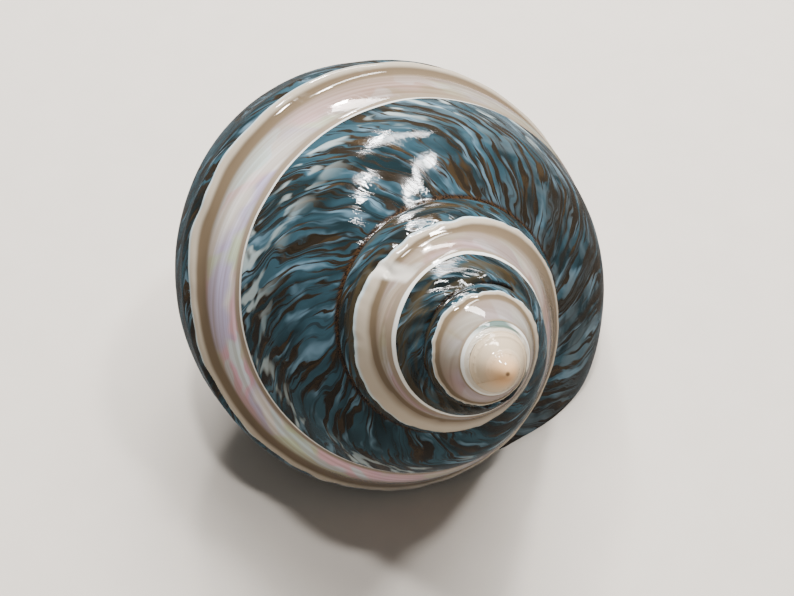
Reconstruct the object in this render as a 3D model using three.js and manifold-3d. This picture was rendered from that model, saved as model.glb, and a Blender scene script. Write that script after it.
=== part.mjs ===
// A turban shell, one piece of shell lying on its mouth.
// It is a tube coiled clockwise about an axis, seen from its tip, that grows by the same factor every turn.
// Lengths are in millimetres. Places along the coil are in turns, and turn 0 is where the lip meets the suture.
import * as THREE from 'three';
import { mergeVertices } from 'three/addons/utils/BufferGeometryUtils.js';
import Module from 'manifold-3d';

// The coil
const SUTURE_RADIUS = 18.2; // from the coil's axis to the suture, at turn 0
const GROWTH = 2.066; // how much larger the tube is after one turn
const SUTURE_DROP = 1.563; // from the tip down to the suture, in suture radii
const FIRST_TURN = -3.75; // the tip is a small plain dome above this turn
const TIP_ROUNDING = 1.3; // the tip is worn down to a dome of about this radius

// How the shell lies: its axis leans from upright toward LEAN_TOWARD, after it is turned by SPIN
const LEAN = 48.3;
const LEAN_TOWARD = -65.3;
const SPIN = 16.3;
const TIP_PLACE = new THREE.Vector3(10.3, -27.7, 35.2); // the point that the coil grows from

// The shell's wall and its hollow
const WALL = 1.7; // at the lip, and thinner in earlier turns as everything is
const INNER_GLAZE = 0.9; // layer that the hollow leaves on the whorl before it
const GLAZE_EDGE = 0.3; // the same layer where it runs out at the mouth
const HOLLOW_START = -0.72; // how far back the hollow runs
const HOLLOW_CAP = 0.06; // turns over which its inner end is rounded
const HOLLOW_END = 0.09; // past the lip, so that the mouth is open
const HOLLOW_CENTRE = new THREE.Vector2(1.14, -1.3);
const PILLAR = [[0.52, -2.12], [0.34, -1.6], [0.3, -1.0]]; // hollow's side along the central pillar
const PILLAR_EDGE = [[0.3, -2.2], [0.12, -1.6], [0.12, -1.0]]; // the same side where the pillar runs out at the mouth
const MOUTH_FLARE = [-0.3, 0.0]; // the turns over which glaze and pillar run out

// Whorl profiles, in suture radii out from the axis and up from the whorl's own suture.
// Point 2 is the pale band's upper edge and point 3 its lower rim. Point 5 is the next whorl's suture.
const NEXT_SUTURE = [GROWTH, SUTURE_DROP * (1 - GROWTH)];
const BASE = [[1.8, -2.12], [1.3, -2.38], [0.75, -2.45], [0, -2.3]];
const CHORD = [0, 0.1, 0.2, 0.8, 0.9, 1].map((share) => [1, 0].map((x, i) => x + share * (NEXT_SUTURE[i] - x)));
const DOME = [...CHORD, ...BASE];
const TIP_WHORLS = [[1, 0], [1.1, -0.13], [1.22, -0.29], [1.93, -1.36], [2.01, -1.52], NEXT_SUTURE, ...BASE];
const SPIRE = [[1, 0], [1.19, -0.23], [1.37, -0.51], [1.86, -1.2], [1.985, -1.43], NEXT_SUTURE, ...BASE];
const BODY = [[1, 0], [1.42, -0.3], [1.69, -0.6], [2.22, -1.49], [2.21, -1.57], NEXT_SUTURE, ...BASE];
const FLANK_BASE = [[2.16, -2.03], [1.86, -2.33], [1.34, -2.5], [0.75, -2.5], [0, -2.3]];
const FLANK = [[1, 0], [1.44, -0.36], [1.71, -0.85], [2.11, -1.42], [2.17, -1.63], ...FLANK_BASE];
const LIP_BASE = [[1.83, -1.83], [1.62, -2.16], [1.22, -2.38], [0.72, -2.45], [0, -2.3]];
const LIP = [[1, 0], [1.53, -0.3], [1.79, -0.81], [1.95, -1.33], [1.9, -1.53], ...LIP_BASE];
const SUTURE_POINT = 5;
const LAST_POINT = 9;
const STAGES = [ // each profile passes into the next between two turns
  { profile: DOME },
  { profile: TIP_WHORLS, from: FIRST_TURN, to: FIRST_TURN + 1 },
  { profile: SPIRE, from: -2.3, to: -1.7 },
  { profile: BODY, from: -1.2, to: -0.95 },
  { profile: FLANK, from: -0.95, to: -0.7 },
  { profile: LIP, from: -0.55, to: -0.2 },
];

// Fineness of the facets
const ROWS_PER_TURN = 64;
const STEPS_PER_POINT = 2;
const HOLLOW_ROWS = 40;
const HOLLOW_CAP_ROWS = 4;
const TABLE_SIZE = 400; // the block under the shell that its mouth is cut flat by

const wasm = await Module();
wasm.setup();

function whorlScale(turn) {
  return SUTURE_RADIUS * GROWTH ** turn;
}

function profileAt(turn) {
  const points = STAGES[0].profile.map(([out, up]) => new THREE.Vector2(out, up));
  for (const { profile, from, to } of STAGES.slice(1)) {
    const share = THREE.MathUtils.smoothstep(turn, from, to);
    points.forEach((point, i) => point.lerp(new THREE.Vector2(...profile[i]), share));
  }
  return new THREE.SplineCurve(points);
}

// A place in the half-plane of one turn, as a point of the coil
function coilPoint(turn, { x, y }) {
  const angle = -2 * Math.PI * turn;
  const scale = whorlScale(turn);
  const out = scale * x;
  const worn = SUTURE_DROP * (Math.hypot(out, TIP_ROUNDING) - out);
  return new THREE.Vector3(out * Math.cos(angle), out * Math.sin(angle), scale * (y - SUTURE_DROP) - worn);
}

// The same place measured in the suture radii of the whorl after it
function seenFromNextWhorl({ x, y }) {
  return new THREE.Vector2(x / GROWTH, (y - SUTURE_DROP) / GROWTH + SUTURE_DROP);
}

function closedGeometry(points, triangles) {
  const geometry = new THREE.BufferGeometry().setFromPoints(points);
  geometry.setIndex(triangles.flat());
  return geometry;
}

// The outside of the shell, filled: whorls that share their sutures, the base, the tip and a flat end at turn 0
function filledCoil() {
  const rowCount = Math.round(-FIRST_TURN * ROWS_PER_TURN);
  const sutureStep = SUTURE_POINT * STEPS_PER_POINT;
  const lastStep = LAST_POINT * STEPS_PER_POINT;
  const baseRow = rowCount - ROWS_PER_TURN; // the base shows only on the last turn
  const points = [];
  const triangles = [];
  const index = [];
  for (let row = 0; row <= rowCount; row += 1) {
    const turn = (row - rowCount) / ROWS_PER_TURN;
    const profile = profileAt(turn);
    const steps = row >= baseRow ? lastStep : sutureStep;
    index.push([]);
    for (let step = 0; step <= steps; step += 1) {
      const shared = step === 0 && row >= ROWS_PER_TURN;
      if (shared) {
        index[row].push(index[row - ROWS_PER_TURN][sutureStep]);
      } else {
        const place = profile.getPoint(step / lastStep);
        index[row].push(points.push(coilPoint(turn, place)) - 1);
      }
    }
  }
  for (let row = 0; row < rowCount; row += 1) {
    const steps = row >= baseRow ? lastStep : sutureStep;
    for (let step = 0; step < steps; step += 1) {
      const [a, d] = [index[row][step], index[row][step + 1]];
      const [b, c] = [index[row + 1][step], index[row + 1][step + 1]];
      triangles.push([a, b, c], [a, c, d]);
    }
  }
  const tip = points.push(new THREE.Vector3(0, 0, -SUTURE_DROP * TIP_ROUNDING)) - 1;
  for (let row = 0; row < ROWS_PER_TURN; row += 1) {
    triangles.push([index[row + 1][0], index[row][0], tip]);
  }
  for (let step = 0; step < sutureStep; step += 1) {
    triangles.push([index[0][step], index[0][step + 1], tip]);
  }
  const outer = index[rowCount].slice(0, lastStep);
  const alongAxis = index.slice(baseRow).map((row) => row[lastStep]).reverse();
  const inner = index[baseRow].slice(sutureStep + 1, lastStep).reverse();
  const outline = [...outer, ...alongAxis, ...inner].reverse();
  const flat = outline.map((i) => new THREE.Vector2(points[i].x, points[i].z));
  for (const face of THREE.ShapeUtils.triangulateShape(flat, [])) {
    triangles.push(face.map((i) => outline[i]));
  }
  return closedGeometry(points, triangles);
}

// The hollow that the animal lived in: the tube's inside, a wall's thickness in from the outside,
// the central pillar and the whorl before it
function hollow() {
  const edge = (turn) => {
    const profile = profileAt(turn);
    const before = profileAt(turn - 1);
    const flare = THREE.MathUtils.smoothstep(turn, ...MOUTH_FLARE);
    const wall = WALL / SUTURE_RADIUS;
    const glaze = THREE.MathUtils.lerp(INNER_GLAZE, GLAZE_EDGE, flare) / SUTURE_RADIUS;
    const step = 1 / STEPS_PER_POINT;
    const pillarPoint = LAST_POINT - 1; // past this point of a profile lies the pillar
    const places = [];
    for (let point = step; point <= pillarPoint; point += step) {
      places.push([profile.getPoint(point / LAST_POINT), wall]);
    }
    PILLAR.forEach((place, i) => {
      places.push([new THREE.Vector2(...place).lerp(new THREE.Vector2(...PILLAR_EDGE[i]), flare), 0]);
    });
    for (let point = pillarPoint - step; point > SUTURE_POINT; point -= step) {
      places.push([seenFromNextWhorl(before.getPoint(point / LAST_POINT)), glaze]);
    }
    return places.map(([place, inset]) => {
      const inward = HOLLOW_CENTRE.clone().sub(place).setLength(inset);
      return place.clone().add(inward);
    });
  };
  const rows = [];
  for (let row = 1; row <= HOLLOW_CAP_ROWS; row += 1) { // the rounded end of the hollow
    const around = (Math.PI / 2) * (row / (HOLLOW_CAP_ROWS + 1));
    const turn = HOLLOW_START - HOLLOW_CAP * Math.cos(around);
    const places = edge(turn).map((place) => HOLLOW_CENTRE.clone().lerp(place, Math.sin(around)));
    rows.push(places.map((place) => coilPoint(turn, place)));
  }
  for (let row = 0; row <= HOLLOW_ROWS; row += 1) {
    const turn = THREE.MathUtils.lerp(HOLLOW_START, HOLLOW_END, row / HOLLOW_ROWS);
    rows.push(edge(turn).map((place) => coilPoint(turn, place)));
  }
  const sides = rows[0].length;
  const points = rows.flat();
  const triangles = [];
  for (let row = 0; row + 1 < rows.length; row += 1) {
    for (let side = 0; side < sides; side += 1) {
      const next = (side + 1) % sides;
      const [a, d] = [row * sides + side, row * sides + next];
      triangles.push([a, a + sides, d + sides], [a, d + sides, d]);
    }
  }
  const firstCentre = points.push(coilPoint(HOLLOW_START - HOLLOW_CAP, HOLLOW_CENTRE)) - 1;
  const lastCentre = points.push(coilPoint(HOLLOW_END, HOLLOW_CENTRE)) - 1;
  const lastRow = (rows.length - 1) * sides;
  for (let side = 0; side < sides; side += 1) {
    const next = (side + 1) % sides;
    triangles.push([side, next, firstCentre], [lastRow + next, lastRow + side, lastCentre]);
  }
  return closedGeometry(points, triangles);
}

function tableBlock() {
  const block = new THREE.BoxGeometry(TABLE_SIZE, TABLE_SIZE, TABLE_SIZE).translate(0, 0, -TABLE_SIZE / 2);
  block.deleteAttribute('normal');
  block.deleteAttribute('uv');
  return mergeVertices(block);
}

function asSolid(geometry) {
  const vertProperties = new Float32Array(geometry.getAttribute('position').array);
  const triVerts = new Uint32Array(geometry.getIndex().array);
  return new wasm.Manifold(new wasm.Mesh({ numProp: 3, vertProperties, triVerts }));
}

function asGeometry(solid) {
  const { vertProperties, triVerts, numProp } = solid.getMesh();
  const geometry = new THREE.BufferGeometry();
  const positions = new THREE.InterleavedBuffer(vertProperties, numProp);
  geometry.setAttribute('position', new THREE.InterleavedBufferAttribute(positions, 3, 0));
  geometry.setIndex(new THREE.BufferAttribute(triVerts, 1));
  return geometry;
}

function lyingDown(geometry) {
  const { degToRad } = THREE.MathUtils;
  const pose = new THREE.Matrix4().makeTranslation(TIP_PLACE);
  pose.multiply(new THREE.Matrix4().makeRotationZ(degToRad(LEAN_TOWARD)));
  pose.multiply(new THREE.Matrix4().makeRotationY(degToRad(LEAN)));
  pose.multiply(new THREE.Matrix4().makeRotationZ(degToRad(SPIN)));
  return geometry.applyMatrix4(pose);
}

function shell() {
  const coil = asSolid(lyingDown(filledCoil()));
  const mouth = asSolid(lyingDown(hollow()));
  const solid = coil.subtract(asSolid(tableBlock())).subtract(mouth);
  const material = new THREE.MeshStandardMaterial({ color: 0x6f8f9c, roughness: 0.25, metalness: 0 });
  const mesh = new THREE.Mesh(asGeometry(solid), material);
  mesh.name = 'shell';
  return mesh;
}

const turbanShell = new THREE.Group();
turbanShell.add(shell());

export default turbanShell;
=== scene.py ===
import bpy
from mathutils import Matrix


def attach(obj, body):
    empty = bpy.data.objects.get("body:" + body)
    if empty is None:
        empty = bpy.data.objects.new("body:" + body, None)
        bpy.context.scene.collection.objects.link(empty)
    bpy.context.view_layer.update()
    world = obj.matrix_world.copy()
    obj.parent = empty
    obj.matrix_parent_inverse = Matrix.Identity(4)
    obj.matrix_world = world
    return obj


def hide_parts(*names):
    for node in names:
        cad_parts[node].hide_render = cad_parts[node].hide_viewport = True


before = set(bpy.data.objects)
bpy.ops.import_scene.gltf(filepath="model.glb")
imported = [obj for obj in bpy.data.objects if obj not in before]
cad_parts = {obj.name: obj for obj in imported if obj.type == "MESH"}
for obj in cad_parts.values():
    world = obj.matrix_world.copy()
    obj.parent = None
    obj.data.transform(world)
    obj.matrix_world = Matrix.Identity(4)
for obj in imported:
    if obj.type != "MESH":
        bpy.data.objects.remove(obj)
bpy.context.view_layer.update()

import math

import bpy
import numpy as np
from mathutils import Matrix, Vector, noise

# The shell is one piece of aragonite, a tube that the animal grew turn by turn round an axis, and it was
# ground and buffed to a gloss by hand. Turn 0 is where the lip meets the suture, and earlier turns are
# below it. A profile's points run from one suture (0) over the pale band (2 to 3) to the next suture (5).
MM = 0.001
SUTURE_RADIUS = 18.2
GROWTH = 2.066
SUTURE_DROP = 1.563
FIRST_TURN = -3.75
TIP_ROUNDING = 1.3
LEAN = 48.3
LEAN_TOWARD = -65.3
SPIN = 16.3
TIP_PLACE = Vector((10.3, -27.7, 35.2))
NEXT_SUTURE = (GROWTH, SUTURE_DROP * (1 - GROWTH))
BASE = [(1.8, -2.12), (1.3, -2.38), (0.75, -2.45), (0, -2.3)]
CHORD = [(1 + share * (NEXT_SUTURE[0] - 1), share * NEXT_SUTURE[1]) for share in (0, 0.1, 0.2, 0.8, 0.9, 1)]
DOME = CHORD + BASE
TIP_WHORLS = [(1, 0), (1.1, -0.13), (1.22, -0.29), (1.93, -1.36), (2.01, -1.52), NEXT_SUTURE] + BASE
SPIRE = [(1, 0), (1.19, -0.23), (1.37, -0.51), (1.86, -1.2), (1.985, -1.43), NEXT_SUTURE] + BASE
BODY = [(1, 0), (1.42, -0.3), (1.69, -0.6), (2.22, -1.49), (2.21, -1.57), NEXT_SUTURE] + BASE
FLANK = [(1, 0), (1.44, -0.36), (1.71, -0.85), (2.11, -1.42), (2.17, -1.63)]
FLANK += [(2.16, -2.03), (1.86, -2.33), (1.34, -2.5), (0.75, -2.5), (0, -2.3)]
LIP = [(1, 0), (1.53, -0.3), (1.79, -0.81), (1.95, -1.33), (1.9, -1.53)]
LIP += [(1.83, -1.83), (1.62, -2.16), (1.22, -2.38), (0.72, -2.45), (0, -2.3)]
STAGES = [
    (TIP_WHORLS, FIRST_TURN, FIRST_TURN + 1),
    (SPIRE, -2.3, -1.7),
    (BODY, -1.2, -0.95),
    (FLANK, -0.95, -0.7),
    (LIP, -0.55, -0.2),
]
SUTURE_POINT = 5
LAST_POINT = 9
ROWS_PER_TURN = 300
# Runs of mesh columns across the profile, finer at the sutures and the band: start, end and number
ACROSS_RUNS = [(0, 0.2, 8), (0.2, 1.85, 16), (1.85, 2.15, 9), (2.15, 2.6, 6)]
ACROSS_RUNS += [(2.6, 3.1, 14), (3.1, 4.7, 10), (4.7, 5, 6)]
BASE_RUNS = [(5, 8, 18), (8, 9, 5)]


def ease(value, low, high):
    share = np.clip((value - low) / (high - low), 0, 1)
    return share * share * (3 - 2 * share)


def profile_at(turns, across):
    """The profile's points at these turns, on a curve through its ten points."""
    shape = np.shape(turns)
    points = np.broadcast_to(np.array(DOME, float), shape + (10, 2))
    for stage, start, end in STAGES:
        share = ease(np.asarray(turns, float), start, end)[..., None, None]
        points = points * (1 - share) + np.array(stage, float) * share
    step = np.clip(np.floor(across).astype(int), 0, LAST_POINT - 1)
    part = (across - step)[..., None]
    near = []
    for shift in (-1, 0, 1, 2):
        pick = np.clip(step + shift, 0, LAST_POINT)[..., None, None]
        near.append(np.take_along_axis(points, np.broadcast_to(pick, shape + (1, 2)), axis=-2)[..., 0, :])
    before, first, second, after = near
    leave = (second - before) / 2
    reach = (after - first) / 2
    cubic = 2 * first - 2 * second + leave + reach
    square = 3 * second - 3 * first - 2 * leave - reach
    return ((cubic * part + square) * part + leave) * part + first


def whorl_scale(turns):
    return SUTURE_RADIUS * GROWTH ** turns


def coil_points(turns, places, lift=0.0, directions=None):
    """Places in suture radii as points of the coil in millimetres, moved by a lift along a direction."""
    scale = whorl_scale(turns)
    out = scale * places[..., 0]
    worn = SUTURE_DROP * (np.hypot(out, TIP_ROUNDING) - out)
    up = scale * (places[..., 1] - SUTURE_DROP) - worn
    if directions is not None:
        out = out + lift * directions[..., 0]
        up = up + lift * directions[..., 1]
    angle = -2 * math.pi * turns
    return np.stack([out * np.cos(angle), out * np.sin(angle), up], axis=-1)


def profile_normals(turns, across):
    nudge = 0.02
    ahead = profile_at(turns, np.minimum(across + nudge, LAST_POINT))
    back = profile_at(turns, np.maximum(across - nudge, 0))
    along = ahead - back
    normals = np.stack([-along[..., 1], along[..., 0]], axis=-1)
    return normals / np.maximum(np.linalg.norm(normals, axis=-1, keepdims=True), 1e-9)


lie_down = Matrix.Translation(TIP_PLACE)
for axis, degrees in (("Z", LEAN_TOWARD), ("Y", LEAN), ("Z", SPIN)):
    lie_down = lie_down @ Matrix.Rotation(math.radians(degrees), 4, axis)
lie_down = Matrix.Scale(MM, 4) @ lie_down


def as_object(name, points, faces, pose=Matrix.Identity(4)):
    mesh = bpy.data.meshes.new(name)
    mesh.from_pydata([tuple(point) for point in points], [], [tuple(face) for face in faces])
    mesh.transform(pose)
    mesh.validate()
    piece = bpy.data.objects.new(name, mesh)
    bpy.context.scene.collection.objects.link(piece)
    return piece


column_runs = ACROSS_RUNS + BASE_RUNS
across_steps = [np.linspace(start, end, count, endpoint=False) for start, end, count in column_runs]
across_steps = np.append(np.concatenate(across_steps), LAST_POINT)
suture_column = int(np.argmin(abs(across_steps - SUTURE_POINT)))
last_column = len(across_steps) - 1
row_count = int(round(-FIRST_TURN * ROWS_PER_TURN))
base_row = row_count - ROWS_PER_TURN
row_turns = np.arange(-row_count, 1) / ROWS_PER_TURN
turns, across = np.meshgrid(row_turns, across_steps, indexing="ij")

# Where the band's strips start on the profile, at some turns: white line, upper groove, nacre, lower groove,
# rim and flank. The paint and relief use even edges, to which these places are stretched.
STRIP_EDGES = {
    -3.75: (1.6, 2.0, 2.1, 2.65, 2.82, 2.97),
    -2.3: (1.6, 2.0, 2.1, 2.65, 2.82, 2.97),
    -1.95: (1.95, 2.08, 2.2, 2.3, 2.38, 4.5),
    -1.65: (1.94, 2.09, 2.26, 2.45, 2.6, 3.2),
    -1.55: (1.94, 2.09, 2.24, 2.5, 2.66, 3.05),
    -1.51: (2.0, 2.1, 2.18, 2.54, 2.66, 2.85),
    -1.4: (2.0, 2.1, 2.18, 2.54, 2.66, 2.85),
    -1.2: (1.6, 1.8, 1.85, 2.5, 3.1, 3.5),
    -1.0: (2.0, 2.03, 2.13, 2.6, 2.8, 3.0),
    0.0: (2.0, 2.03, 2.13, 2.62, 2.82, 3.0),
}
EVEN_EDGES = (2.0, 2.06, 2.2, 2.6, 2.8, 3.0)
GROWTH_LAG = 0.056
LAG_PAST_BAND = 0.7
BAND_START = 2
SCAR_AGE = -1.388
SCAR_WIDTH = 0.007
MID_TURN = -0.5
RIM_WANDER = 0.05
RIM_JITTER = 0.02
LINE_WANDER = 0.012
# Heights of the relief in millimetres, at the middle of the last whorl
RIM_HEIGHT = 0.26
LOWER_GROOVE_DEPTH = 0.3
UPPER_GROOVE_DEPTH = 0.1
NACRE_SWELL = 0.12
SHOULDER_HEIGHT = 0.09
SHOULDER_SWELL = 0.11
SHOULDER_CRINKLE = 0.02
PUCKER_HEIGHT = 0.08
SPIRE_SCALES = 1.3
FLANK_SWELL = 0.05
FLANK_CRINKLE = 0.03
SCAR_DEPTH = 0.5
SCALLOP_HEIGHT = 0.24


def wander(turns, per_turn, seed):
    """A smooth random line along the coil, between about -1 and 1."""
    return np.array([noise.noise(Vector((turn * per_turn, seed, 0.5))) for turn in turns]) * 1.6


def hump(value, start, end):
    share = np.clip((value - start) / (end - start), 0, 1)
    return np.sin(math.pi * share) ** 2


scallop = 1 - 0.6 * ease(row_turns, -0.6, -0.45)
rim_wander = scallop * (RIM_WANDER * wander(row_turns, 32, 3.7) + RIM_JITTER * wander(row_turns, 75, 8.1))
line_wander = LINE_WANDER * wander(row_turns, 30, 5.2)
strip = np.empty_like(across)
for row, turn in enumerate(row_turns):
    edges = [np.interp(turn, list(STRIP_EDGES), column) for column in zip(*STRIP_EDGES.values())]
    edges[5] += rim_wander[row]
    edges[4] += 0.4 * rim_wander[row]
    edges[0] += line_wander[row]
    edges[1] += line_wander[row]
    ends = [SUTURE_POINT, LAST_POINT]
    strip[row] = np.interp(across[row], [0, *edges, *ends], [0, *EVEN_EDGES, *ends])
age = turns + GROWTH_LAG * np.minimum(across, BAND_START)
age = age + LAG_PAST_BAND * GROWTH_LAG * np.maximum(across - BAND_START, 0)

size_share = whorl_scale(turns) / whorl_scale(MID_TURN)
shoulder = ease(strip, 0.05, 0.5) * (1 - ease(strip, 1.96, 2.01))
pucker = ease(strip, 0.0, 0.12) * (1 - ease(strip, 0.4, 1.3))
pucker = pucker * (1 + 1.5 * (1 - ease(turns, -1.2, -1.0)))
scales = ease(strip, 0.0, 0.15) * (1 - ease(strip, 0.5, 1.5))
scales = scales * (1 - ease(turns, -1.35, -1.2)) * ease(turns, -2.3, -2.1)
flank = ease(strip, 3.0, 3.2) * (1 - ease(strip, 4.6, 5.0))
swell = np.empty_like(turns)
crinkle = np.empty_like(turns)
for spot in np.ndindex(turns.shape):
    swell[spot] = noise.noise(Vector((age[spot] * 30, strip[spot] * 1.1, 2.5)))
    crinkle[spot] = noise.noise(Vector((age[spot] * 95, strip[spot] * 2.2, 7.5)))
lift = RIM_HEIGHT * hump(strip, 2.77, 3.05)
lift -= LOWER_GROOVE_DEPTH * hump(strip, 2.5, 2.86)
lift -= UPPER_GROOVE_DEPTH * hump(strip, 2.02, 2.24)
lift += NACRE_SWELL * hump(strip, 2.2, 2.55)
lift += shoulder * (SHOULDER_HEIGHT + SHOULDER_SWELL * swell + SHOULDER_CRINKLE * crinkle)
lift += PUCKER_HEIGHT * pucker * crinkle
lift += SPIRE_SCALES * scales * swell
lift += flank * (FLANK_SWELL * swell + FLANK_CRINKLE * crinkle)
scar_line = SCAR_AGE + 0.006 * np.sin(strip * 9)
lift -= SCAR_DEPTH * np.exp(-(((age - scar_line) / SCAR_WIDTH) ** 2)) * hump(strip, 1.9, 3.9)
lift += SCALLOP_HEIGHT * hump(strip, 2.82, 3.25) * (scallop * wander(row_turns, 70, 6.4))[:, None]
lift[:, [0, suture_column]] = 0

places = profile_at(turns, across)
grid = coil_points(turns, places, lift * size_share, profile_normals(turns, across))

TIP_RINGS = (0.85, 0.7, 0.55, 0.42, 0.3, 0.19, 0.1)
TIP_SPOT = (FIRST_TURN, 1.0, 0.0, 0.0)
MEAN_RADIUS = 1.5
STRIP_WIDTH = 6.0
arc_mm = 2 * math.pi * MEAN_RADIUS * whorl_scale(age) / math.log(GROWTH)
over_mm = STRIP_WIDTH * size_share * strip
surface_spots = np.stack([age, strip, arc_mm, over_mm], axis=-1)
vertices = []
index = np.full(turns.shape, -1)
for row in range(row_count + 1):
    columns = last_column if row >= base_row else suture_column
    for column in range(columns + 1):
        if column == 0 and row >= ROWS_PER_TURN:
            index[row, 0] = index[row - ROWS_PER_TURN, suture_column]
        else:
            index[row, column] = len(vertices)
            vertices.append(grid[row, column])

faces = []
growth_map = []
for row in range(row_count):
    columns = last_column if row >= base_row else suture_column
    for column in range(columns):
        corners = [(row, column), (row + 1, column), (row + 1, column + 1), (row, column + 1)]
        faces.append([index[corner] for corner in corners])
        growth_map.append([surface_spots[corner] for corner in corners])
loop = [index[row, 0] for row in range(ROWS_PER_TURN + 1)]
loop += [index[0, column] for column in range(suture_column - 1, 0, -1)]
ring = loop
for ring_share in TIP_RINGS:
    inner_ring = []
    for spot in loop:
        x, y, z = vertices[spot]
        radius = math.hypot(x, y)
        dome = -SUTURE_DROP * math.hypot(radius * ring_share, TIP_ROUNDING)
        offset = z + SUTURE_DROP * math.hypot(radius, TIP_ROUNDING)
        inner_ring.append(len(vertices))
        vertices.append(np.array([x * ring_share, y * ring_share, dome + offset * ring_share]))
    for side in range(len(loop)):
        beside = (side + 1) % len(loop)
        faces.append([ring[beside], ring[side], inner_ring[side], inner_ring[beside]])
        growth_map.append([TIP_SPOT] * 4)
    ring = inner_ring
tip = len(vertices)
vertices.append(np.array([0, 0, -SUTURE_DROP * TIP_ROUNDING]))
for side in range(len(loop)):
    faces.append([ring[(side + 1) % len(loop)], ring[side], tip])
    growth_map.append([TIP_SPOT] * 3)
outline = list(index[row_count, :last_column])
outline += [index[row, last_column] for row in range(row_count, base_row - 1, -1)]
outline += [index[base_row, column] for column in range(last_column - 1, suture_column, -1)]
outline.reverse()
faces.append(outline)
growth_map.append([(0, LAST_POINT, 0, 0)] * len(outline))

shell = as_object("turban_shell", vertices, faces, lie_down)
corner_spots = np.array([corner for face in growth_map for corner in face], np.float32)
for name, first in (("growth", 0), ("surface_mm", 2)):
    layer = shell.data.uv_layers.new(name=name)
    layer.data.foreach_set("uv", corner_spots[:, first : first + 2].ravel())

# The hollow that the animal lived in, a wall's thickness in from the outside, which opens at the mouth
WALL = 1.7
INNER_GLAZE = 0.9
GLAZE_EDGE = 0.3
HOLLOW_START = -0.72
HOLLOW_CAP = 0.06
HOLLOW_END = 0.09
HOLLOW_CENTRE = np.array((1.14, -1.3))
PILLAR = np.array([(0.52, -2.12), (0.34, -1.6), (0.3, -1.0)])
PILLAR_EDGE = np.array([(0.3, -2.2), (0.12, -1.6), (0.12, -1.0)])
MOUTH_FLARE = (-0.3, 0.0)
HOLLOW_ROWS = 120
HOLLOW_CAP_ROWS = 10
HOLLOW_STEP = 0.125


def hollow_edge(turn):
    flare = float(ease(turn, *MOUTH_FLARE))
    outer_across = np.arange(0.5, LAST_POINT - 1 + HOLLOW_STEP / 2, HOLLOW_STEP)
    outer = profile_at(np.full_like(outer_across, turn), outer_across)
    inner_across = np.arange(LAST_POINT - 1.5, SUTURE_POINT + 0.25, -HOLLOW_STEP)
    inner = profile_at(np.full_like(inner_across, turn - 1), inner_across)
    inner = np.stack([inner[:, 0] / GROWTH, (inner[:, 1] - SUTURE_DROP) / GROWTH + SUTURE_DROP], axis=-1)
    glaze = (INNER_GLAZE + (GLAZE_EDGE - INNER_GLAZE) * flare) / SUTURE_RADIUS
    moved = []
    for edge, inset in ((outer, WALL / SUTURE_RADIUS), (inner, glaze)):
        inward = HOLLOW_CENTRE - edge
        moved.append(edge + inward / np.linalg.norm(inward, axis=-1, keepdims=True) * inset)
    pillar = PILLAR + (PILLAR_EDGE - PILLAR) * flare
    return np.concatenate([moved[0], pillar, moved[1]])


hollow_rows = []
for cap_row in range(1, HOLLOW_CAP_ROWS + 1):
    around = math.pi / 2 * cap_row / (HOLLOW_CAP_ROWS + 1)
    turn = HOLLOW_START - HOLLOW_CAP * math.cos(around)
    edge = HOLLOW_CENTRE + (hollow_edge(turn) - HOLLOW_CENTRE) * math.sin(around)
    hollow_rows.append(coil_points(np.full(len(edge), turn), edge))
for turn in np.linspace(HOLLOW_START, HOLLOW_END, HOLLOW_ROWS + 1):
    edge = hollow_edge(turn)
    hollow_rows.append(coil_points(np.full(len(edge), turn), edge))
sides = len(hollow_rows[0])
hollow_points = list(np.concatenate(hollow_rows))
hollow_faces = []
for row in range(len(hollow_rows) - 1):
    for side in range(sides):
        beside = (side + 1) % sides
        near, far = row * sides, (row + 1) * sides
        hollow_faces.append([near + side, far + side, far + beside, near + beside])
last_ring = (len(hollow_rows) - 1) * sides
for turn, first, flip in ((HOLLOW_START - HOLLOW_CAP, 0, False), (HOLLOW_END, last_ring, True)):
    hollow_points.append(coil_points(np.array(turn), HOLLOW_CENTRE))
    for side in range(sides):
        face = [first + side, first + (side + 1) % sides, len(hollow_points) - 1]
        hollow_faces.append(face[::-1] if flip else face)
hollow = as_object("mouth_cutter", hollow_points, hollow_faces, lie_down)

# All that would reach below the table is cut off flat, so the shell rests on its lip and base
TABLE_BLOCK = 200 * MM
SHARP_EDGE = 50
reach = (-TABLE_BLOCK, TABLE_BLOCK)
block_points = [(x, y, z) for z in (-TABLE_BLOCK, 0) for x in reach for y in reach]
block_faces = [(0, 1, 3, 2), (4, 6, 7, 5), (0, 4, 5, 1), (2, 3, 7, 6), (0, 2, 6, 4), (1, 5, 7, 3)]
block = as_object("table_cutter", block_points, block_faces)

for cutter in (block, hollow):
    cutter.data.polygons.foreach_set("material_index", [1] * len(cutter.data.polygons))
    for slot in range(2):
        cutter.data.materials.append(None)
shell.data.materials.append(None)
shell.data.materials.append(None)
for cutter in (block, hollow):
    cut = shell.modifiers.new(cutter.name, "BOOLEAN")
    cut.operation = "DIFFERENCE"
    cut.solver = "MANIFOLD"
    cut.object = cutter
solid = shell.evaluated_get(bpy.context.evaluated_depsgraph_get())
finished = bpy.data.meshes.new_from_object(solid)
shell.modifiers.clear()
shell.data = finished
for cutter in (block, hollow):
    bpy.data.objects.remove(cutter)
shell.data.polygons.foreach_set("use_smooth", [True] * len(shell.data.polygons))
shell.data.set_sharp_from_angle(angle=math.radians(SHARP_EDGE))


def linear(code):
    """An sRGB hex colour as linear red, green, blue and alpha."""
    shares = [int(code[place : place + 2], 16) / 255 for place in (1, 3, 5)]
    return tuple(x / 12.92 if x <= 0.04045 else ((x + 0.055) / 1.055) ** 2.4 for x in shares) + (1.0,)


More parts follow.
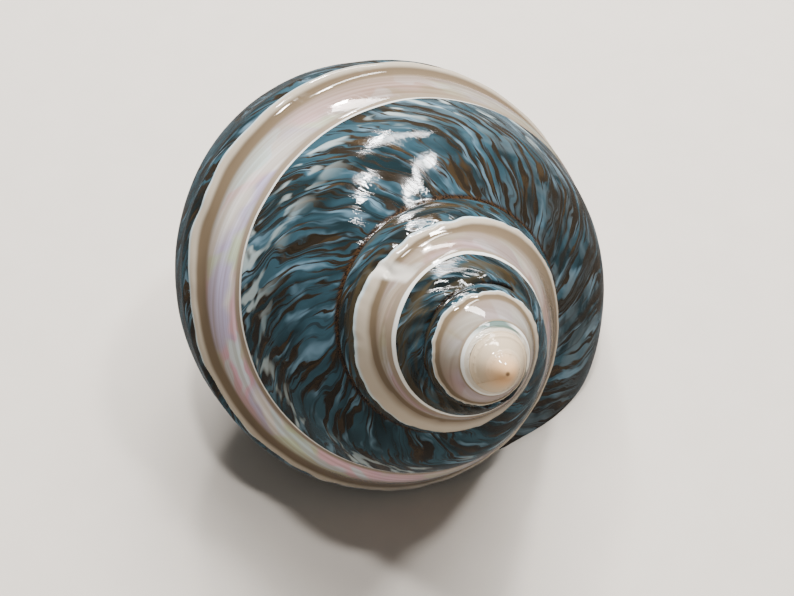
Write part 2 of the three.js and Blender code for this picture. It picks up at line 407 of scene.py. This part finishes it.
def add(tree, kind, inputs, out=0, **settings):
    """Adds a node with its settings, values and links, and gives back one of its outputs."""
    made = tree.nodes.new("ShaderNode" + kind)
    for name, value in settings.items():
        setattr(made, name, value)
    for socket, value in inputs.items():
        if isinstance(value, bpy.types.NodeSocket):
            tree.links.new(value, made.inputs[socket])
        else:
            made.inputs[socket].default_value = value
    return made.outputs[out] if made.outputs else None


# Polished aragonite: the ground and buffed outer layer of the shell. It is glossy, blue-green and streaked
# with brown along the growth lines, with milky spots, and where it is ground through a pearly band shows.
WAVER_MM = 4
WAVER_REACH = (5.0, 3.0, 0)
BUMP_HEIGHT = 0.03 * MM
TIP_DOT = (0.28 * MM, 0.12 * MM)
TIP_BLUSH = (0.8 * MM, 2.6 * MM)
MARK_APART = 5.3
polished = bpy.data.materials.new("polished_aragonite")
polished.use_nodes = True
tree = polished.node_tree
tree.nodes.clear()
spread = add(tree, "UVMap", {}, uv_map="growth")
age_value = add(tree, "SeparateXYZ", {"Vector": spread}, "X")
strip_value = age_value.node.outputs["Y"]
on_shell = add(tree, "UVMap", {}, uv_map="surface_mm")
waver = add(tree, "TexNoise", {"Vector": on_shell, "Scale": 1 / WAVER_MM, "Detail": 2}, "Color")
waver = add(tree, "VectorMath", {0: waver, 1: (0.5, 0.5, 0.5)}, operation="SUBTRACT")
waver = add(tree, "VectorMath", {0: waver, 1: WAVER_REACH, 2: on_shell}, operation="MULTIPLY_ADD")

# Each mark: width along the coil in mm, length across the whorl in mm, detail, and where its noise fades in
MARKS = {
    "deep": (4.0, 7.0, 2, 0.36, 0.62),
    "sky": (1.7, 3.2, 2, 0.52, 0.74),
    "milk": (1.7, 1.9, 1, 0.54, 0.68),
    "flame": (0.9, 5.0, 4, 0.505, 0.575),
    "thread": (0.34, 5.0, 3, 0.5, 0.58),
    "rust": (1.2, 3.0, 3, 0.52, 0.64),
    "grain": (0.22, 0.3, 2, 0.4, 0.62),
    "late": (2.6, 22.0, 3, 0.46, 0.6),
    "cloud": (7.0, 1.6, 2, 0.4, 0.66),
    "pink": (9.0, 3.2, 1, 0.45, 0.55),
    "green": (8.0, 2.8, 1, 0.51, 0.59),
    "lilac": (10.0, 3.0, 1, 0.46, 0.56),
    "ice": (6.0, 1.8, 1, 0.54, 0.6),
    "silk": (26.0, 0.28, 3, 0.35, 0.7),
}
mask = {}
for number, (name, (width, length, detail, low, high)) in enumerate(MARKS.items()):
    start = on_shell if name == "silk" else waver
    stretch = (1 / width, 1 / length, 1)
    layer_place = (0, 0, MARK_APART * number)
    spot = add(tree, "VectorMath", {0: start, 1: stretch, 2: layer_place}, operation="MULTIPLY_ADD")
    value = add(tree, "TexNoise", {"Vector": spot, "Scale": 1, "Detail": detail})
    ends = {"Value": value, "From Min": low, "From Max": high}
    mask[name] = add(tree, "MapRange", ends, interpolation_type="SMOOTHSTEP")

# Shares that rise along the coil or across the whorl, from one place to another
RISES = {
    "lip_side": (age_value, -0.42, -0.18),
    "spire": (age_value, -1.12, -1.24),
    "early": (age_value, -2.0, -2.12),
    "tip": (age_value, -2.86, -3.05),
    "left_start": (age_value, -0.86, -0.72),
    "left_end": (age_value, -0.3, -0.42),
    "scar_start": (age_value, SCAR_AGE - 0.02, SCAR_AGE - 0.008),
    "scar_end": (age_value, SCAR_AGE + 0.022, SCAR_AGE + 0.006),
    "teal_start": (age_value, -2.42, -2.32),
    "teal_end": (age_value, -2.18, -2.24),
    "teal_inner": (strip_value, 0.5, 1.1),
    "teal_outer": (strip_value, 2.14, 2.06),
    "slit_start": (age_value, -2.6, -2.58),
    "slit_end": (age_value, -2.5, -2.52),
    "slit_across": (strip_value, 0.26, 0.18),
    "near_band": (strip_value, 0.9, 1.9),
    "suture_above": (strip_value, 0.15, 0.06),
    "suture_below": (strip_value, 4.8, 4.95),
    "covered": (age_value, -0.74, -0.8),
    "base": (strip_value, 6.8, 8.4),
    "white_line": (strip_value, 1.985, 2.0),
    "upper_groove": (strip_value, 2.05, 2.075),
    "nacre": (strip_value, 2.16, 2.24),
    # The nacre's outer half, where the band is painted darker as shade
    "painted_shade_outer_half": (strip_value, 2.36, 2.58),
    "lower_groove": (strip_value, 2.56, 2.68),
    "rim": (strip_value, 2.78, 2.85),
    "rim_edge": (strip_value, 2.91, 2.97),
    "flank": (strip_value, 2.99, 3.02),
}
share = {}
for name, (value, start, end) in RISES.items():
    ends = {"Value": value, "From Min": start, "From Max": end}
    share[name] = add(tree, "MapRange", ends, interpolation_type="SMOOTHSTEP")

# Shares where two others meet, each with its most
off_spire = add(tree, "Math", {0: 1.0, 1: share["spire"]}, operation="SUBTRACT")
by_band = add(
    tree, "Math", {0: share["near_band"], 1: share["white_line"]}, operation="SUBTRACT", use_clamp=True
)
by_band = add(tree, "Math", {0: by_band, 1: off_spire}, operation="MULTIPLY")
BOTH = {
    "scar_white": (share["scar_start"], share["scar_end"], 0.9),
    "teal_patch": (share["teal_start"], share["teal_end"], 0.85),
    "slit": (share["slit_start"], share["slit_end"], 0.9),
    "milk_spots": (mask["milk"], by_band, 0.75),
    "left": (share["left_start"], share["left_end"], 1.0),
    # Painted light: the left part of the body whorl, where the nacre is made paler as if lit more
    "painted_light_left": (share["left_start"], share["left_end"], 0.95),
    "rusty_flame": (mask["flame"], mask["rust"], 0.6),
    "threads": (mask["thread"], mask["late"], 0.85),
    "late_streaks": (mask["late"], share["lip_side"], 0.75),
    "late_grey": (share["lip_side"], mask["cloud"], 0.6),
    "spire_gold": (share["spire"], mask["cloud"], 0.75),
    "spire_shade": (share["spire"], mask["late"], 0.75),
}
for name, (first, second, most) in BOTH.items():
    both = add(tree, "Math", {0: first, 1: second}, operation="MULTIPLY")
    share[name] = add(tree, "Math", {0: both, 1: most}, operation="MULTIPLY")
tint = {}
strength = add(tree, "MapRange", {"Value": share["left"], "To Min": 0.15, "To Max": 0.8})
for name in ("pink", "green", "lilac", "ice"):
    tint[name] = add(tree, "Math", {0: mask[name], 1: strength}, operation="MULTIPLY")

# The colours, each laid over the ones before it
LAYERS = {
    "outside": [
        (1.0, "#17272b"),
        (mask["deep"], "#304c57"),
        (mask["sky"], "#668393"),
        (share["late_grey"], "#626f75"),
        (mask["flame"], "#272017"),
        (share["rusty_flame"], "#453622"),
        (share["threads"], "#1f190f"),
        (share["late_streaks"], "#2c241a"),
        (share["milk_spots"], "#b6c4c3"),
        (share["spire_shade"], "#10191b"),
        (share["spire_gold"], "#453a26"),
    ],
    "nacre": [
        (1.0, "#9c8c79"),
        # Painted light: the nacre is dark taupe, and over the left part of the body whorl it is painted
        # almost white, a lit copy of the same nacre.
        (share["painted_light_left"], "#f8f3ee"),
        (tint["lilac"], "#c3b8e4"),
        (tint["pink"], "#f4b9c9"),
        (tint["green"], "#d6e8bf"),
        (tint["ice"], "#e0f1f6"),
    ],
}
colour = {}
for name, layers in LAYERS.items():
    under = linear(layers[0][1])
    for amount, over in layers[1:]:
        under = add(tree, "Mix", {0: amount, 6: under, 7: linear(over)}, 2, data_type="RGBA")
    colour[name] = under
silk = add(tree, "Mix", {0: mask["silk"], 6: linear("#dcd5cd"), 7: linear("#ffffff")}, 2, data_type="RGBA")
pearl = add(tree, "Mix", {0: 1.0, 6: colour["nacre"], 7: silk}, 2, data_type="RGBA", blend_type="MULTIPLY")
# Painted shade: the nacre's outer half is darkened towards taupe, standing in for the dark room that the
# band's curve reflects there.
painted_shade_outer_half = add(tree, "Math", {0: share["painted_shade_outer_half"], 1: 0.6}, operation="MULTIPLY")
pearl = add(tree, "Mix", {0: painted_shade_outer_half, 6: pearl, 7: linear("#8b7a69")}, 2, data_type="RGBA")
suture = add(tree, "Mix", {0: mask["grain"], 6: linear("#120b06"), 7: linear("#46311e")}, 2, data_type="RGBA")
surface = add(
    tree, "Mix", {0: share["early"], 6: colour["outside"], 7: linear("#d9cdba")}, 2, data_type="RGBA"
)
teal_across = add(tree, "Math", {0: share["teal_inner"], 1: share["teal_outer"]}, operation="MULTIPLY")
teal = add(tree, "Math", {0: share["teal_patch"], 1: teal_across}, operation="MULTIPLY")
slit = add(tree, "Math", {0: share["slit"], 1: share["slit_across"]}, operation="MULTIPLY")
below = add(tree, "Math", {0: share["suture_below"], 1: share["covered"]}, operation="MULTIPLY")
near_suture = add(tree, "Math", {0: share["suture_above"], 1: below}, operation="MAXIMUM")
young = add(tree, "MapRange", {"Value": share["early"], "To Min": 1.0, "To Max": 0.25})
near_suture = add(tree, "Math", {0: near_suture, 1: young}, operation="MULTIPLY")
from_tip = add(tree, "TexCoord", {}, "Object")
tip_point = lie_down @ Vector((0, 0, -SUTURE_DROP * TIP_ROUNDING))
from_tip = add(tree, "VectorMath", {0: from_tip, 1: tuple(tip_point)}, "Value", operation="DISTANCE")
dot = add(
    tree, "MapRange", {"Value": from_tip, "From Min": TIP_DOT[0], "From Max": TIP_DOT[1], "To Max": 0.8}
)
tip_pale = add(tree, "MapRange", {"Value": from_tip, "From Min": TIP_BLUSH[0], "From Max": TIP_BLUSH[1]})
tip_paint = add(tree, "Mix", {0: tip_pale, 6: linear("#e3b585"), 7: linear("#d3bd9f")}, 2, data_type="RGBA")
tip_paint = add(tree, "Mix", {0: dot, 6: tip_paint, 7: linear("#4a3524")}, 2, data_type="RGBA")
on_band = add(tree, "Math", {0: share["nacre"], 1: share["flank"]}, operation="SUBTRACT", use_clamp=True)
scarred = add(tree, "Math", {0: share["scar_white"], 1: on_band}, operation="MULTIPLY")
STRIPS = [
    (share["white_line"], linear("#ebeae2")),
    (share["upper_groove"], linear("#8f7f6d")),
    (share["nacre"], pearl),
    (share["lower_groove"], linear("#75644f")),
    (share["rim"], linear("#bcae9a")),
    (share["rim_edge"], linear("#c3d3d6")),
    (share["flank"], colour["outside"]),
    (scarred, linear("#e4ddd0")),
    (share["base"], linear("#cfc9bd")),
    (near_suture, suture),
    (teal, linear("#1d5049")),
    (slit, linear("#1d120b")),
    (share["tip"], tip_paint),
]
for amount, over in STRIPS:
    surface = add(tree, "Mix", {0: amount, 6: surface, 7: over}, 2, data_type="RGBA")

band = add(tree, "Math", {0: share["nacre"], 1: share["rim"]}, operation="SUBTRACT", use_clamp=True)
metal = add(tree, "Math", {0: band, 1: 0.1}, operation="MULTIPLY")
rough_streak = add(tree, "Math", {0: mask["flame"], 1: near_suture}, operation="MAXIMUM")
roughness = add(tree, "MapRange", {"Value": rough_streak, "To Min": 0.04, "To Max": 0.13})
off_band = add(tree, "Math", {0: share["white_line"], 1: share["flank"]}, operation="SUBTRACT")
off_band = add(tree, "Math", {0: 1.0, 1: off_band}, operation="SUBTRACT")
height = add(tree, "Math", {0: mask["thread"], 1: mask["grain"]}, operation="ADD")
height = add(tree, "Math", {0: height, 1: off_band}, operation="MULTIPLY")
relief = add(tree, "Bump", {"Strength": 0.1, "Distance": BUMP_HEIGHT, "Height": height})
gloss = add(
    tree, "BsdfPrincipled",
    {
        "Base Color": surface, "Metallic": metal, "Roughness": roughness, "Normal": relief,
        "IOR": 1.55, "Specular IOR Level": 0.5,
    },
)
add(tree, "OutputMaterial", {"Surface": gloss})

# Mother-of-pearl: the smooth inner layer that the animal laid down, seen in the mouth and at the lip's worn
# edge. It is silvery cream with a soft sheen and faint rose and green clouds.
CLOUD_MM = 4
pearl_inside = bpy.data.materials.new("mother_of_pearl")
pearl_inside.use_nodes = True
tree = pearl_inside.node_tree
tree.nodes.clear()
inside = add(tree, "TexCoord", {}, "Object")
under = linear("#ddd5c8")
for number, over in enumerate(("#dcc3c6", "#cfd8c6", "#c8cbd6")):
    cloud_place = add(tree, "VectorMath", {0: inside, 1: (0.05 * number, 0.07 * number, 0)}, operation="ADD")
    cloud = add(tree, "TexNoise", {"Vector": cloud_place, "Scale": 1 / (CLOUD_MM * MM), "Detail": 2})
    amount = add(tree, "MapRange", {"Value": cloud, "From Min": 0.5, "From Max": 0.7, "To Max": 0.6})
    under = add(tree, "Mix", {0: amount, 6: under, 7: linear(over)}, 2, data_type="RGBA")
sheen = add(
    tree, "BsdfPrincipled",
    {"Base Color": under, "Metallic": 0.2, "Roughness": 0.25, "IOR": 1.6, "Specular IOR Level": 0.3},
)
add(tree, "OutputMaterial", {"Surface": sheen})
shell.data.materials.clear()
shell.data.materials.append(polished)
shell.data.materials.append(pearl_inside)

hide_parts("shell")
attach(shell, "root")

# The table that the shell lies on: a board faced with pale matt laminate, which is faintly mottled and
# scatters the light. It is kept out of the shell's reflections, so that the gloss shows the lamps.
TABLE_HALF = 1.6
MOTTLE_MM = 6
table_corners = [(-TABLE_HALF, -TABLE_HALF, 0), (TABLE_HALF, -TABLE_HALF, 0)]
table_corners += [(TABLE_HALF, TABLE_HALF, 0), (-TABLE_HALF, TABLE_HALF, 0)]
floor = as_object("table_top", table_corners, [(0, 1, 2, 3)])
laminate = bpy.data.materials.new("matt_laminate")
laminate.use_nodes = True
tree = laminate.node_tree
tree.nodes.clear()
place = add(tree, "TexCoord", {}, "Object")
mottle = add(tree, "TexNoise", {"Vector": place, "Scale": 1 / (MOTTLE_MM * MM), "Detail": 5})
mottle = add(tree, "Mix", {0: mottle, 6: linear("#d4cbc0"), 7: linear("#dcd3c8")}, 2, data_type="RGBA")
top = add(tree, "BsdfPrincipled", {"Base Color": mottle, "Roughness": 0.7, "Specular IOR Level": 0.2})
add(tree, "OutputMaterial", {"Surface": top})
floor.data.materials.append(laminate)
floor.visible_glossy = False

# The camera, a hand-held one that looks down on the spire from the front. Its focal length is in pixels of a
# picture 794 wide, and it stands a fixed way from the shell's tip.
SENSOR = 36
FOCAL_PIXELS = 1050
PICTURE_PIXELS = 794
CAMERA_TO_TIP = Vector((10.544, 45.433, -80.220))
CAMERA_TILT = 34
camera_data = bpy.data.cameras.new("camera")
camera_data.sensor_width = SENSOR
camera_data.lens = SENSOR * FOCAL_PIXELS / PICTURE_PIXELS
camera_data.clip_start = 10 * MM
camera = bpy.data.objects.new("camera", camera_data)
camera.location = (TIP_PLACE - CAMERA_TO_TIP) * MM
camera.rotation_euler = (math.radians(CAMERA_TILT), 0, 0)
bpy.context.scene.collection.objects.link(camera)
bpy.context.scene.camera = camera

# The light: a wide soft window behind the shell, and small lamps that its gloss shows as bright spots. Each
# has its azimuth from the back and elevation in degrees, distance, width and height in metres, power in
# watts, and whether the gloss shows it.
ROOM_LIGHT = 0.22
world = bpy.data.worlds.new("room")
bpy.context.scene.world = world
world.use_nodes = True
world.node_tree.nodes["Background"].inputs["Color"].default_value = linear("#e8e6e4")
world.node_tree.nodes["Background"].inputs["Strength"].default_value = ROOM_LIGHT
AIM = Vector((0, 0, 18 * MM))
LAMPS = {
    "soft_window": (15, 48, 0.8, 0.8, 0.45, 15.0, False),
    "back_window": (6, 37, 0.7, 0.34, 0.1, 3.4, True),
    "bright_pane": (-8, 33, 0.69, 0.06, 0.04, 2.2, True),
    "ceiling_lamp": (-3, 73, 0.6, 0.06, 0.04, 2.2, True),
    "right_lamp": (55, 57, 0.6, 0.06, 0.06, 1.8, True),
}
for name, (azimuth, elevation, distance, width, height, watts, in_gloss) in LAMPS.items():
    lamp_data = bpy.data.lights.new(name, "AREA")
    lamp_data.shape = "RECTANGLE"
    lamp_data.size = width
    lamp_data.size_y = height
    lamp_data.energy = watts
    lamp = bpy.data.objects.new(name, lamp_data)
    turned = Matrix.Rotation(-math.radians(azimuth), 3, "Z")
    raised = math.radians(elevation)
    lamp.location = AIM + distance * (turned @ Vector((0, math.cos(raised), math.sin(raised))))
    lamp.rotation_euler = (AIM - lamp.location).to_track_quat("-Z", "Y").to_euler()
    lamp.visible_glossy = in_gloss
    bpy.context.scene.collection.objects.link(lamp)
